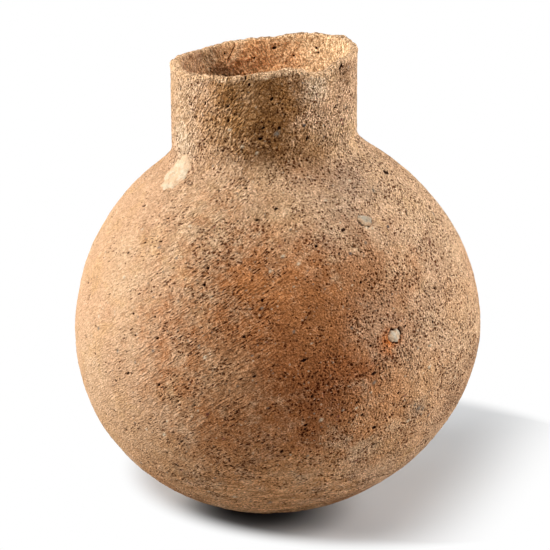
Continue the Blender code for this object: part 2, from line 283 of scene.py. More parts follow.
# Meshes: node, bottom, top, points round, outer step and inner step in mm. The base has no bottom lap.
STRAPS = (
    ("base_bowl", None, BASE_HEIGHT, 640, 0.75, 4.0),
    ("lower_wall", BASE_HEIGHT, LOWER_TOP, 980, 0.50, 3.0),
    ("belly_wall", LOWER_TOP, BELLY_TOP, 1120, 0.50, 3.0),
    ("upper_wall", BELLY_TOP, UPPER_TOP, 960, 0.50, 3.0),
    ("shoulder_wall", UPPER_TOP, NECK_FOOT, 700, 0.64, 4.0),
    ("neck_collar", NECK_FOOT, NECK_TOP, 680, 0.44, 0.60),
)
RIM_MESH = (720, 0.40, 0.45)
LAP_ROWS = 3
CROWN_ROWS = 15
CROWN_POWER = 0.55           # 1 is a half ellipse, and less makes a flatter lip
LIP_ROLL = 0.0020
POLE_GAP = 0.002
UV_SECTORS = 3
UV_MARGIN = 0.01


def smooth_step(share):
    """Ease from 0 to 1."""
    share = np.clip(share, 0.0, 1.0)
    return share * share * (3 - 2 * share)


def filleted_max(first, second, width):
    """The larger of two values, with a fillet of this width where they cross."""
    share = np.clip(0.5 + 0.5 * (first - second) / width, 0.0, 1.0)
    return second + (first - second) * share + width * share * (1 - share)


def skin(station):
    """Radius and height of the outer skin: -1 is the pole of the bottom, 0 the belly and 1 the rim."""
    angle = np.minimum(station, 0.0) * math.pi / 2
    height = BELLY_HEIGHT + np.maximum(station, 0.0) * (RIM_HEIGHT - BELLY_HEIGHT)
    share = np.clip((height - BELLY_HEIGHT) / UPPER_HEIGHT, 0.0, 1.0)
    shoulder = BELLY_RADIUS * (1 - share ** SHOULDER_POWER) ** (1 / SHOULDER_POWER)
    flare = np.maximum(0.0, (height - NECK_FOOT) / (RIM_HEIGHT - NECK_FOOT)) ** 2
    neck = NECK_RADIUS + (LIP_RADIUS - NECK_RADIUS) * flare
    upper = filleted_max(shoulder, neck, NECK_FILLET)
    radius = np.where(station < 0, BELLY_RADIUS * np.cos(angle), upper)
    return radius, np.where(station < 0, BELLY_HEIGHT + LOWER_HEIGHT * np.sin(angle), height)


class Outline:
    """The outer skin as a function of the length along it."""

    def __init__(self):
        self.radius, self.height = skin(np.linspace(-1, 1, OUTLINE_POINTS))
        across = np.gradient(self.radius)
        up = np.gradient(self.height)
        size = np.hypot(across, up)
        self.out_radius = up / size
        self.out_height = -across / size
        steps = np.hypot(np.diff(self.radius), np.diff(self.height))
        self.length = np.concatenate(([0.0], np.cumsum(steps)))

    def length_at(self, height):
        return np.interp(height, self.height, self.length)

    def at(self, length):
        """Radius, height and outward direction at these lengths."""
        values = (self.radius, self.height, self.out_radius, self.out_height)
        return [np.interp(length, self.length, value) for value in values]


OUTLINE = Outline()


def wall_at(height):
    """Thickness of the clay at this height of the skin."""
    heights = (0.0, BELLY_HEIGHT, NECK_FOOT, NECK_TOP, RIM_HEIGHT)
    return np.interp(height, heights, (BASE_WALL, BODY_WALL, BODY_WALL, NECK_WALL, LIP_WALL))


def cell_values(cells, seed):
    """A repeatable random number from -1 to 1 for each whole-numbered cell."""
    mixed = cells[..., 0] * 73856093 ^ cells[..., 1] * 19349663 ^ cells[..., 2] * 83492791
    mixed = (mixed ^ seed * 40503) & 0xFFFFFFFF
    for factor in (1274126177, 668265263):
        mixed = (mixed ^ mixed >> 13) * factor & 0xFFFFFFFF
    return (mixed >> 12 & 0xFFFF) / 0x7FFF - 1


def noise(points, size, seed):
    """Smooth noise from -1 to 1 with lumps of this size."""
    scaled = points @ np.array(NOISE_TILT) / size
    cells = np.floor(scaled).astype(np.int64)
    share = scaled - cells
    share = share ** 3 * (share * (6 * share - 15) + 10)
    total = 0.0
    for corner in np.ndindex(2, 2, 2):
        weight = np.prod(np.where(corner, share, 1 - share), axis=-1)
        total = total + weight * cell_values(cells + np.array(corner), seed)
    return total


def layered(points, layers, seed):
    """Sum of noise layers, each given by its size and height."""
    total = 0.0
    for index, (size, height) in enumerate(layers):
        total = total + height * noise(points, size, seed + index)
    return total


def round_points(radius, height, angle):
    """Points at these radii, heights and angles in radians."""
    return np.stack([radius * np.cos(angle), radius * np.sin(angle), height + 0 * angle], axis=-1)


def bearing(points):
    """Angle of each point round the pot."""
    return np.degrees(np.arctan2(points[..., 1], points[..., 0])) % 360


def rescaled(points, scale, rise=0.0):
    """Points moved to or from the axis by this scale, and up by this rise."""
    return np.stack([points[..., 0] * scale, points[..., 1] * scale, points[..., 2] + rise], axis=-1)


def wiped(length, angle):
    """Coordinates in which the marks of the climbing hand run along the third axis."""
    return round_points(WIPE_RADIUS, length / WIPE_STRETCH, angle - WIPE_TWIST * length)


def band(height, low, high, fade):
    """1 between two heights, easing to 0 outside them."""
    return smooth_step((height - low) / fade + 1) * smooth_step((high - height) / fade + 1)


def wipe_relief(points, length, angle):
    """Streaks that wiping left in the skin."""
    height = points[..., 2]
    climbing = noise(wiped(length, angle), WIPE_WIDTH, 21)
    level = noise(points / np.array((WIPE_STRETCH, WIPE_STRETCH, 1.0)), WIPE_WIDTH, 22)
    level_share = np.maximum(*(band(height, *limits) for limits in WIPE_LEVEL))
    climb_share = band(height, *WIPE_CLIMB) * smooth_step(0.5 + noise(points, WIPE_PATCH, 23))
    return WIPE_HEIGHT * (climb_share * climbing + WIPE_LEVEL_SHARE * level_share * level)


def outer_relief(points, length, angle):
    """Height of the skin above its true outline, without pits and grains."""
    edge = RIM_HEIGHT - LIP_BAND_REACH + layered(points, LIP_BAND_RAGGED, 26)
    lip = LIP_BAND * smooth_step((points[..., 2] - edge) / LIP_BAND_EDGE)
    return layered(points, OUTER_RELIEF, 1) + wipe_relief(points, length, angle) + lip


def inner_relief(points, length, angle):
    """Height of the lining above its true outline."""
    tool = noise(wiped(length, angle), TOOL_WIDTH, 31)
    tool_share = band(points[..., 2], *TOOL_BAND)
    return layered(points, INNER_RELIEF, 11) + TOOL_HEIGHT * tool * tool_share


def behind_ridge(points):
    """Degrees from each point to the edge of the rim's lapped end, positive on the lap."""
    return RIDGE_ANGLE + RIDGE_SLANT * (RIM_HEIGHT - points[..., 2]) - bearing(points)


def lining_pits(points):
    """Share of each point of the lining that lies in a pit."""
    around = bearing(points)
    foot = (behind_ridge(points) + RIDGE_BEVEL) / RIDGE_GROOVE
    total = RIDGE_GROOVE_SHARE * ridge_share(points[..., 2]) * np.exp(-foot ** 2)
    for angle, height, wide, tall in LINING_PITS:
        across = np.radians(angle_between(around, angle)) * NECK_RADIUS / (wide / 1000)
        up = (points[..., 2] - height / 1000) / (tall / 1000)
        total = np.maximum(total, np.exp(-(across ** 2 + up ** 2) ** 2))
    return total


def worn_and_lit_edges(points, length, depth):
    """Share of wear and painted highlight on the lip and on the edge of the rim's lapped end."""
    top = OUTLINE.length_at(RIM_HEIGHT - LIP_ROLL)
    lip = smooth_step((length - top) / LIP_WORN + 1 + layered(points, LIP_WORN_RAGGED, 81))
    lip = lip * smooth_step(LIP_INWARD * (1 - depth))
    ridge = np.exp(-((behind_ridge(points) - RIDGE_BEVEL / 2) / RIDGE_BEVEL) ** 2)
    return np.maximum(lip, ridge * depth * ridge_share(points[..., 2]))


def angle_between(first, second):
    """Smallest turn from one angle to another."""
    return (first - second + 180) % 360 - 180


def rim_share(height):
    """Ease from 0 at the top of the rim's lap to 1 at the rim."""
    lap_top = NECK_TOP + LAP_LENGTH / 2
    return smooth_step((height - lap_top) / (RIM_HEIGHT - lap_top))


def ridge_share(height):
    """Rise from 0 at the top of the rim's lap to 1 well below the rim."""
    return np.minimum(1.0, RIDGE_RISE * rim_share(height))


def worn(points, depth):
    """Add the rim's ridge, wear and ragged edge to points of the true turned pot."""
    behind = behind_ridge(points)
    step = np.clip(np.where(behind >= 0, 1 - behind / RIDGE_FADE, 1 + behind / RIDGE_BEVEL), 0.0, 1.0)
    step = RIDGE_STEP * step * ridge_share(points[..., 2]) * smooth_step(depth * 2 - 1)
    radius = np.hypot(points[..., 0], points[..., 1])
    scale = 1 - step / np.maximum(radius, 1e-6)
    rise = layered(points, RIM_RAGGED, 41)
    around = bearing(points)
    for angle, height, spread in RIM_WEAR:
        rise = rise + height * np.exp(-0.5 * (angle_between(around, angle) / spread) ** 2)
    return rescaled(points, scale, rise * rim_share(points[..., 2]))


def settled(points):
    """Move points of the true turned pot to where they lie in the settled one."""
    x, y, z = points[..., 0], points[..., 1], points[..., 2]
    share = (z - BELLY_HEIGHT) / UPPER_HEIGHT
    lean = smooth_step((share - LEAN_START) / (LEAN_END - LEAN_START))
    sag = smooth_step((BELLY_HEIGHT - z) / BELLY_HEIGHT)
    return np.stack([x + NECK_SHIFT * lean + FOOT_SHIFT * sag, y, z + NECK_SLOPE * lean * x], axis=-1)


def swollen(points):
    """Move points of the true turned pot in or out as the hand-built wall swells."""
    turn = np.radians(bearing(points))
    rise = 0.0
    for lobes, waves, height, phase in SWELLS:
        turns = 2 * math.pi * waves * points[..., 2] / RIM_HEIGHT
        rise = rise + height * np.cos(lobes * turn + turns + math.radians(phase))
    return rescaled(points, 1 + rise / BELLY_RADIUS)


def shaped(points, depth):
    """Points of the finished pot."""
    return settled(swollen(worn(points, depth)))


def wall_points(length, depth, lift, angle, push):
    """Points in the wall, moved out of the true outline by push."""
    radius, height, out_radius, out_height = OUTLINE.at(length)
    inward = push - depth * wall_at(height)
    points = round_points(radius + out_radius * inward, height + out_height * inward + lift, angle)
    points[..., 2] = np.maximum(points[..., 2], 0.0)
    return points


def skin_frame(angle, height):
    """Point on the settled skin, and the directions across, up and out of the wall there."""
    step = 1e-4
    length = OUTLINE.length_at(height)
    turn = math.radians(angle)
    lengths = np.array((length, length, length + step))
    angles = np.array((turn, turn + step, turn))
    point, aside, above = (Vector(p) for p in shaped(wall_points(lengths, 0.0, 0.0, angles, 0.0), 0.0))
    across = (aside - point).normalized()
    out = across.cross(above - point).normalized()
    return point, across, out.cross(across), out


class Mark:
    """A pit, grain or socket on the skin."""

    def __init__(self, angle, length, half, tilt, push, colour=None):
        self.angle = math.radians(angle)
        self.length = length
        self.half = half
        self.tilt = math.radians(tilt)
        self.push = push
        self.colour = colour


def random_marks():
    """Seeded pits and grains all over the skin."""
    draw = np.random.default_rng(SEED)
    area = np.cumsum(OUTLINE.radius)
    marks = []
    for index in range(PIT_COUNT + GRAIN_COUNT):
        angle = draw.uniform(0, 360)
        length = float(np.interp(draw.uniform(0, area[-1]), area, OUTLINE.length))
        size, stretch, tilt, amount, pick = draw.uniform(size=5)
        tilt_angle = MARK_TILT + MARK_TILT_RANGE * (tilt - 0.5)
        if index < PIT_COUNT:
            half = PIT_RADIUS[0] + PIT_RADIUS[1] * size ** SIZE_BIAS
            depth = PIT_DEPTH[0] + PIT_DEPTH[1] * size ** DEPTH_BIAS
            marks.append(Mark(angle, length, (half * (1 + stretch), half), tilt_angle, -depth))
        else:
            half = GRAIN_RADIUS[0] + GRAIN_RADIUS[1] * size ** SIZE_BIAS
            colour = GRAIN_COLOURS[int(pick * len(GRAIN_COLOURS))]
            shape = (half * (1 + 0.5 * stretch), half)
            marks.append(Mark(angle, length, shape, tilt_angle, GRAIN_HEIGHT * amount, colour))
    return marks


def named_marks():
    """The pits, grains and sockets that the photo shows."""
    marks = []
    for angle, height, long, wide, tilt, depth in NAMED_PITS:
        length = OUTLINE.length_at(height / 1000)
        marks.append(Mark(angle, length, (long / 1000, wide / 1000), tilt, -depth / 1000))
    for angle, height, half, colour in NAMED_GRAINS:
        length = OUTLINE.length_at(height / 1000)
        shape = (half / 1000, half * GRAIN_SHAPE / 1000)
        marks.append(Mark(angle, length, shape, GRAIN_TILT, GRAIN_HEIGHT, colour))
    return marks


MARKS = random_marks() + named_marks()
SOCKETS = [
    Mark(angle, OUTLINE.length_at(height), [side / 2 + SOCKET_MARGIN for side in size[:2]], 0, -SOCKET_DEPTH)
    for node, slot, angle, height, size, proud in PEBBLES
]


class SkinGrid:
    """Relief, grain colours and the painted shade of pits on the outer rows of a clay piece."""

    def __init__(self, length, count):
        self.length = length
        self.count = count
        angle = np.arange(count) * 2 * math.pi / count
        grid_length = np.repeat(length[:, None], count, axis=1)
        grid_angle = np.repeat(angle[None, :], len(length), axis=0)
        radius, height = OUTLINE.at(length)[:2]
        points = round_points(radius[:, None], height[:, None], grid_angle)
        self.radius = radius
        self.push = outer_relief(points, grid_length, grid_angle)
        self.rough = layered(points, (MARK_RAGGED,), 51)
        self.pit = np.zeros_like(self.push)
        self.grain = np.zeros(self.push.shape + (4,))
        for mark in MARKS:
            self.stamp(mark, MARK_EDGE)
        for socket in SOCKETS:
            self.stamp(socket, SOCKET_EDGE)

    def stamp(self, mark, sharp):
        """Press one mark into the grid, with a steeper edge the larger sharp is."""
        reach = MARK_REACH * max(mark.half)
        first, last = np.searchsorted(self.length, (mark.length - reach, mark.length + reach))
        if first == last:
            return
        radius = max(1e-3, float(np.interp(mark.length, OUTLINE.length, OUTLINE.radius)))
        turn = 2 * math.pi / self.count
        spread = int(reach / (radius * turn)) + 1
        if spread * 2 >= self.count:
            return
        middle = round(mark.angle / turn)
        columns = np.arange(middle - spread, middle + spread + 1)
        across = radius * (columns * turn - mark.angle)[None, :]
        up = (self.length[first:last] - mark.length)[:, None]
        window = np.ix_(np.arange(first, last), columns % self.count)
        long = (across * math.cos(mark.tilt) + up * math.sin(mark.tilt)) / mark.half[0]
        wide = (up * math.cos(mark.tilt) - across * math.sin(mark.tilt)) / mark.half[1]
        ragged = 1 + self.rough[window]
        share = np.exp(-((long ** 2 + wide ** 2) * ragged) ** sharp)
        self.push[window] += mark.push * share
        if mark.colour is None:
            self.pit[window] = np.maximum(self.pit[window], share * min(1.0, -mark.push / FULL_PIT))
        else:
            stronger = share > self.grain[window][..., 3]
            tint = np.broadcast_to(mark.colour, share.shape + (3,))
            stained = np.concatenate([tint, share[..., None]], axis=-1)
            self.grain[window] = np.where(stronger[..., None], stained, self.grain[window])


def lengths_between(start, end, step):
    """Lengths from start to end, about a step apart."""
    return np.linspace(start, end, max(2, round(abs(end - start) / step) + 1))


class Profile:
    """Rows of a clay piece, each with its length, depth in the wall and lift."""

    def __init__(self):
        self.length, self.depth, self.lift, self.sharp_rows = [], [], [], []

    def add(self, length, depth, lift=0.0):
        length = np.atleast_1d(length)
        self.length.append(length)
        self.depth.append(np.broadcast_to(depth, length.shape))
        self.lift.append(np.broadcast_to(lift, length.shape))

    def add_lap(self, start, end, inward):
        """Add the rows inside a lap; the rows at its ends stay sharp."""
        share = np.linspace(0, 1, LAP_ROWS + 2)[1:-1]
        self.sharp_rows.append(self.count() - 1)
        self.add(start + (end - start) * share, share if inward else 1 - share)
        self.sharp_rows.append(self.count() if inward else 0)

    def count(self):
        return sum(len(rows) for rows in self.length)

    def rows(self):
        return [np.concatenate(rows) for rows in (self.length, self.depth, self.lift)]


def lap_lengths(height):
    """Length of a lap's outer and inner end."""
    middle = float(OUTLINE.length_at(height))
    return middle + LAP_LENGTH / 2, middle - LAP_LENGTH / 2


def strap_profile(bottom, top, outer_step, inner_step):
    """Rows of a strap between two laps, or of the base bowl from its foot to its lining."""
    low_outer, low_inner = lap_lengths(bottom) if bottom else (POLE_GAP, POLE_GAP)
    high_outer, high_inner = lap_lengths(top)
    profile = Profile()
    profile.add(lengths_between(low_outer, high_outer, outer_step), 0.0)
    profile.add_lap(high_outer, high_inner, True)
    profile.add(lengths_between(high_inner, low_inner, inner_step), 1.0)
    if bottom:
        profile.add_lap(low_inner, low_outer, False)
    return profile


def rim_profile(outer_step, inner_step):
    """Closed rows of the rim strap, with its round lip."""
    top = float(OUTLINE.length_at(RIM_HEIGHT - LIP_ROLL))
    low_outer, low_inner = lap_lengths(NECK_TOP)
    crown = np.linspace(0, math.pi, CROWN_ROWS + 2)[1:-1]
    profile = Profile()
    profile.add(lengths_between(low_outer, top, outer_step), 0.0)
    profile.add(np.full(CROWN_ROWS, top), (1 - np.cos(crown)) / 2, LIP_ROLL * np.sin(crown) ** CROWN_POWER)
    profile.add(lengths_between(top, low_inner, inner_step), 1.0)
    profile.add_lap(low_inner, low_outer, False)
    return profile


def clay_points(profile, count):
    """Points of a clay piece, and the values that its material reads."""
    rows = profile.rows()
    order = np.argsort(rows[0], kind="stable")
    grid = SkinGrid(rows[0][order], count)
    back = np.argsort(order, kind="stable")
    turns = np.arange(count) * 2 * math.pi / count
    length, depth, lift, angle = np.broadcast_arrays(*(row[:, None] for row in rows), turns)
    inner = wall_points(length, depth, 0.0, angle, 0.0)
    holes = lining_pits(inner) * depth
    inner_push = inner_relief(inner, length, angle) - LINING_PIT_DEPTH * holes
    push = (1 - depth) * grid.push[back] - depth * inner_push
    points = shaped(wall_points(length, depth, lift, angle, push), depth)
    points[..., 2] = np.maximum(points[..., 2], 0.0)
    grain = grid.grain[back].copy()
    grain[..., 3] *= 1 - depth
    values = {
        # The pit share carries the painted shade of pits, sockets and the ridge's groove.
        "pit": np.maximum(grid.pit[back] * (1 - depth), holes),
        "grain": grain,
        "inside": depth,
        "lip": worn_and_lit_edges(inner, length, depth),
        "wipe": wiped(length, angle),
    }
    return points, values


def grid_faces(rows, count, closed):
    """Corner indices of the quads of a grid that closes round the pot."""
    last = rows if closed else rows - 1
    row, column = np.meshgrid(np.arange(last), np.arange(count), indexing="ij")
    above = (row + 1) % rows
    beside = (column + 1) % count
    corners = [row * count + column, row * count + beside, above * count + beside, above * count + column]
    return np.stack(corners, axis=-1).reshape(-1, 4)


def grid_uv(points, closed):
    """Corner places on the bake sheet: the ring is cut into sectors that lie one above the other."""
    rows, count = points.shape[:2]
    last = rows if closed else rows - 1
    steps = np.linalg.norm(np.roll(points[:, 0], -1, axis=0) - points[:, 0], axis=-1)[:last]
    run = np.concatenate(([0.0], np.cumsum(steps)))
    run = run / run[-1]
    per_sector = -(-count // UV_SECTORS)
    column = np.arange(count)
    sector = column // per_sector
    left = (column % per_sector) / per_sector
    u = np.stack([left, left + 1 / per_sector, left + 1 / per_sector, left], axis=-1)
    v = np.stack([run[:-1], run[:-1], run[1:], run[1:]], axis=-1)
    u = UV_MARGIN + (1 - 2 * UV_MARGIN) * np.broadcast_to(u[None], (last, count, 4))
    v = UV_MARGIN + (1 - 2 * UV_MARGIN) * np.broadcast_to(v[:, None], (last, count, 4))
    v = (v + sector[None, :, None]) / UV_SECTORS
    return np.stack([u, v], axis=-1).reshape(-1, 2)


def add_values(mesh, values, extra):
    """Store a value of each point, with the mean of the nearest row for each extra pole."""
    kinds = {1: ("FLOAT", "value"), 3: ("FLOAT_VECTOR", "vector"), 4: ("FLOAT_COLOR", "color")}
    for name, value in values.items():
        flat = value.reshape(value.shape[0], value.shape[1], -1)
        poles = [flat[row].mean(axis=0) for row in extra]
        table = np.concatenate([flat.reshape(-1, flat.shape[-1])] + [pole[None] for pole in poles])
        kind, field = kinds[flat.shape[-1]]
        attribute = mesh.attributes.new(name, kind, "POINT")
        attribute.data.foreach_set(field, table.astype(np.float32).ravel())


def mark_sharp_rings(mesh, rows, count):
    """Keep the seams from being shaded round."""
    ends = np.empty(len(mesh.edges) * 2, dtype=np.int32)
    mesh.edges.foreach_get("vertices", ends)
    ring = ends.reshape(-1, 2) // count
    sharp = (ring[:, 0] == ring[:, 1]) & np.isin(ring[:, 0], rows)
    attribute = mesh.attributes.new("sharp_edge", "BOOLEAN", "EDGE")
    attribute.data.foreach_set("value", sharp)


def grid_mesh(name, points, values, closed, sharp_rows):
    """A closed mesh from rows of points, with a pole at each end of an open profile."""
    rows, count = points.shape[:2]
    faces = [grid_faces(rows, count, closed)]
    flat = points.reshape(-1, 3)
    uv = [grid_uv(points, closed)]
    extra = [] if closed else [0, rows - 1]
    loops = [faces[0].ravel()]
    sizes = [np.full(len(faces[0]), 4)]
    ring = np.arange(count)
    for index, row in enumerate(extra):
        flat = np.concatenate([flat, points[row].mean(axis=0)[None]])
        pole = np.full(count, len(flat) - 1)
        near, far = row * count + ring, row * count + (ring + 1) % count
        fan = np.stack([pole, far, near] if index == 0 else [pole, near, far], axis=-1)
        loops.append(fan.ravel())
        sizes.append(np.full(count, 3))
        uv.append(np.full((count * 3, 2), UV_MARGIN / 2))
    loops = np.concatenate(loops)
    sizes = np.concatenate(sizes)
    mesh = bpy.data.meshes.new(name)
    mesh.vertices.add(len(flat))
    mesh.vertices.foreach_set("co", flat.astype(np.float32).ravel())
    mesh.loops.add(len(loops))
    mesh.loops.foreach_set("vertex_index", loops.astype(np.int32))
    mesh.polygons.add(len(sizes))
    starts = np.concatenate(([0], np.cumsum(sizes)[:-1]))
    mesh.polygons.foreach_set("loop_start", starts.astype(np.int32))
    layer = mesh.uv_layers.new(name="OFBake")
    layer.uv.foreach_set("vector", np.concatenate(uv).astype(np.float32).ravel())
    mesh.update(calc_edges=True)
    mesh.validate()
    mesh.shade_smooth()
    mark_sharp_rings(mesh, sharp_rows, count)
    add_values(mesh, values, extra)
    return mesh


def add_piece(name, mesh, finish, node):
    """Put a piece in the scene in place of its solid."""
    piece = bpy.data.objects.new(name, mesh)
    bpy.context.scene.collection.objects.link(piece)
    mesh.materials.append(finish)
    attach(piece, "root")
    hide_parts(node)


def add_clay(node, profile, count, closed, finish):
    """One clay piece of the wall."""
    points, values = clay_points(profile, count)
    mesh = grid_mesh(node + "_clay", points, values, closed, profile.sharp_rows)
    add_piece(node + "_clay", mesh, finish, node)


def add_pebble(node, angle, height, size, proud, finish, seed):
    """A broken stone in its socket."""
    bpy.ops.mesh.primitive_ico_sphere_add(subdivisions=PEBBLE_DETAIL, radius=1.0)
    ball = bpy.context.object
    point, across, up, out = skin_frame(angle, height)
    place = point + out * (proud - size[2] / 2)
    unit = np.empty(len(ball.data.vertices) * 3)
    ball.data.vertices.foreach_get("co", unit)
    unit = unit.reshape(-1, 3)
    local = unit * np.array(size) / 2
    local = local * (1 + layered(local, PEBBLE_CORNERS, seed))[:, None]
    local = local + unit * layered(local, PEBBLE_ROUGHNESS, seed + 5)[:, None]
    axes = np.array((across, up, out))
    ball.data.vertices.foreach_set("co", (np.array(place) + local @ axes).ravel())
    ball.data.shade_smooth()
    mesh = ball.data
    mesh.name = node + "_stone"
    bpy.data.objects.remove(ball)
    add_piece(node + "_stone", mesh, finish, node)


def add_crust(finish):
    """A chalky scab with a ragged edge that follows the skin."""
    share = np.linspace(0, 1, CRUST_RINGS + 1)[1:]
    spoke = np.arange(CRUST_SPOKES) * 2 * math.pi / CRUST_SPOKES
    ring_points = round_points(CRUST_EDGE_RADIUS, 0.0, spoke)
    edge = 1 + layered(ring_points, CRUST_RAGGED, 61)
    wide = np.sign(np.cos(spoke)) * np.abs(np.cos(spoke)) ** CRUST_BLUNTNESS
    tall = np.sign(np.sin(spoke)) * np.abs(np.sin(spoke)) ** CRUST_BLUNTNESS
    across = share[:, None] * wide[None] * edge * CRUST_WIDTH / 2
    up = share[:, None] * tall[None] * edge * CRUST_LENGTH / 2
    length = OUTLINE.length_at(CRUST_HEIGHT) + up
    radius, height = OUTLINE.at(length)[:2]
    angle = math.radians(CRUST_ANGLE) + across / radius
    points = round_points(radius, height, angle)
    relief = outer_relief(points, length, angle)
    scab = CRUST_THICKNESS * (1 - share[:, None] ** CRUST_EDGE_POWER)
    scab = scab * (CRUST_MEAN + layered(points, (CRUST_LUMPS,), 62)) + layered(points, (CRUST_GRAIN,), 63)
    top = shaped(wall_points(length, 0.0, 0.0, angle, relief + scab), 0.0)
    under = shaped(wall_points(length, 0.0, 0.0, angle, relief - CRUST_SINK), 0.0)
    shell = np.concatenate([under, top[::-1]])
    mesh = grid_mesh("lime_crust_scab", shell, {}, False, [])
    add_piece("lime_crust_scab", mesh, finish, "lime_crust")


class NodeTree:
    """Short calls for building a material's nodes."""

    def __init__(self, owner):
        owner.use_nodes = True
        self.tree = owner.node_tree
        self.tree.nodes.clear()

    def add(self, kind, inputs=None, **settings):
        """A node with these settings; an input is a plain value or another node's output."""
        node = self.tree.nodes.new("ShaderNode" + kind)
        for name, value in settings.items():
            setattr(node, name, value)
        for name, value in (inputs or {}).items():
            if isinstance(value, bpy.types.NodeSocket):
                self.tree.links.new(value, node.inputs[name])
            else:
                node.inputs[name].default_value = value
        return node

    def attribute(self, name, output="Fac"):
        """A value that the mesh holds."""
        return self.add("Attribute", attribute_name=name).outputs[output]

    def noise(self, vector, size, detail=2.0, rough=0.5, output="Fac"):
        """Noise from 0 to 1 with features of this size."""
        inputs = {"Vector": vector, "Scale": 1 / size, "Detail": detail, "Roughness": rough}
        return self.add("TexNoise", inputs).outputs[output]

    def ramp(self, value, low, high, start=0.0, end=1.0):
        """Ease a value from low and high to start and end."""
        inputs = {"Value": value, "From Min": low, "From Max": high, "To Min": start, "To Max": end}
        return self.add("MapRange", inputs, interpolation_type="SMOOTHSTEP").outputs["Result"]

    def layer(self, vector, size, detail, rough, *limits):
        """Noise that is eased between these limits."""
        return self.ramp(self.noise(vector, size, detail, rough), *limits)

    def cells(self, vector, size):
        """Distance from the middle of a cell of about this size, and three random numbers for it."""
        node = self.add("TexVoronoi", {"Vector": vector, "Scale": 1 / size}, feature="F1")
        picks = self.add("SeparateColor", {"Color": node.outputs["Color"]}).outputs
        return node.outputs["Distance"], picks

    def pores(self, vector, crowd, size, share, reach):
        """Small holes, one in each cell of this size, in all but a share of the cells: core and slope."""
        distance, picks = self.cells(vector, size)
        width = self.ramp(self.plus(picks["Blue"], crowd), share, 1.0, PORE_START, reach)
        away = self.chain("SUBTRACT", distance, width)
        return self.ramp(away, *PORE_CORE), self.ramp(away, *PORE_SLOPE)

    def chain(self, operation, first, *others):
        """One value from several, worked out from left to right."""
        for other in others:
            first = self.add("Math", {0: first, 1: other}, operation=operation).outputs[0]
        return first

    def plus(self, *values):
        return self.chain("ADD", *values)

    def times(self, *values):
        return self.chain("MULTIPLY", *values)

    def largest(self, *values):
        return self.chain("MAXIMUM", *values)

    def power(self, value, exponent):
        return self.chain("POWER", value, exponent)

    def vector(self, operation, first, second):
        """A vector worked out from two others."""
        return self.add("VectorMath", {0: first, 1: second}, operation=operation).outputs["Vector"]

    def measure(self, operation, first, second):
        """A number worked out from two vectors."""
        return self.add("VectorMath", {0: first, 1: second}, operation=operation).outputs["Value"]

    def sized(self, vector, factor):
        """A vector times a number."""
        return self.add("VectorMath", {0: vector, "Scale": factor}, operation="SCALE").outputs["Vector"]

    def axis(self, vector, name):
        return self.add("SeparateXYZ", {"Vector": vector}).outputs[name]

    def blend(self, share, first, second):
        """Mix two values."""
        return self.add("Mix", {0: share, 2: first, 3: second}).outputs[0]

    def mix(self, share, first, second, blend="MIX"):
        """Mix two colours."""
        inputs = {0: share, 6: colour(first), 7: colour(second)}
        return self.add("Mix", inputs, data_type="RGBA", blend_type=blend).outputs[2]

    def surface(self, shade, roughness, gloss, bump):
        """End a material with a rough shader; bump holds height, strength and distance."""
        height, strength, distance = bump
        bumps = self.add("Bump", {"Height": height, "Strength": strength, "Distance": distance})
        shader = self.add("BsdfPrincipled", {
            "Base Color": shade,
            "Roughness": roughness,
            "Specular IOR Level": gloss,
            "Normal": bumps.outputs["Normal"],
        })
        self.add("OutputMaterial", {"Surface": shader.outputs["BSDF"]})


def colour(value):
    """A colour input: another node's output, or red, green and blue."""
    return value if isinstance(value, bpy.types.NodeSocket) else (*value, 1.0)


# Noise: size, detail and roughness. A layer goes on with the low and high end of a ramp and its values.
ROUGH = (0.0006, 1.0)
STREAK = (0.0011, 1.0, 0.6)
CRUMB = (0.0010, 0.0)
NECK_CRUMB = (0.0018, 0.0)
LUMP = (0.0016, 1.0)
WARP = (0.022, 4.0)
TEAR = (0.0008, 0.0)
STONE_GRAIN = (0.0007, 3.0, 0.6)
MOTTLE = (0.045, 4.0, 0.5, 0.35, 0.65)
OCHRE_SPOTS = (0.020, 4.0, 0.5, 0.50, 0.75, 0.0, 0.5)
PATCH_EDGE = (0.010, 6.0, 0.7, 0.25, 0.75, 0.30, -0.30)
CLOUD = (0.007, 4.0, 0.6, 0.3, 0.7, 0.92, 1.08)
RINGS = (0.0016, 2.0, 0.6, 0.36, 0.64, -0.22, 0.14)
CROWD = (0.014, 3.0, 0.5, 0.3, 0.7, -0.20, 0.14)
UNEVEN = (0.011, 3.0, 0.6, 0.35, 0.65, 0.8, 2.1)
STONE_MOTTLE = (0.0022, 4.0, 0.6, 0.35, 0.65)
STONE_STAIN = (0.0035, 3.0, 0.5, 0.40, 0.60, 0.0, 0.75)
WARP_REACH = 0.05
TEAR_REACH = 0.0007
SAND_SIZE = 0.00062
GRIT_SIZE = 0.0030

# How far wiping stretches the grain, and how much of it shows.
BODY_DRAG = (1.0, 1.0, 3.0)
NECK_DRAG = (1.0, 1.0, 4.5)
RING_STRETCH = (0.14, 0.14, 1.0)
NECK_DRAGGED = 0.65
CRUMBS_DRAGGED = 0.6
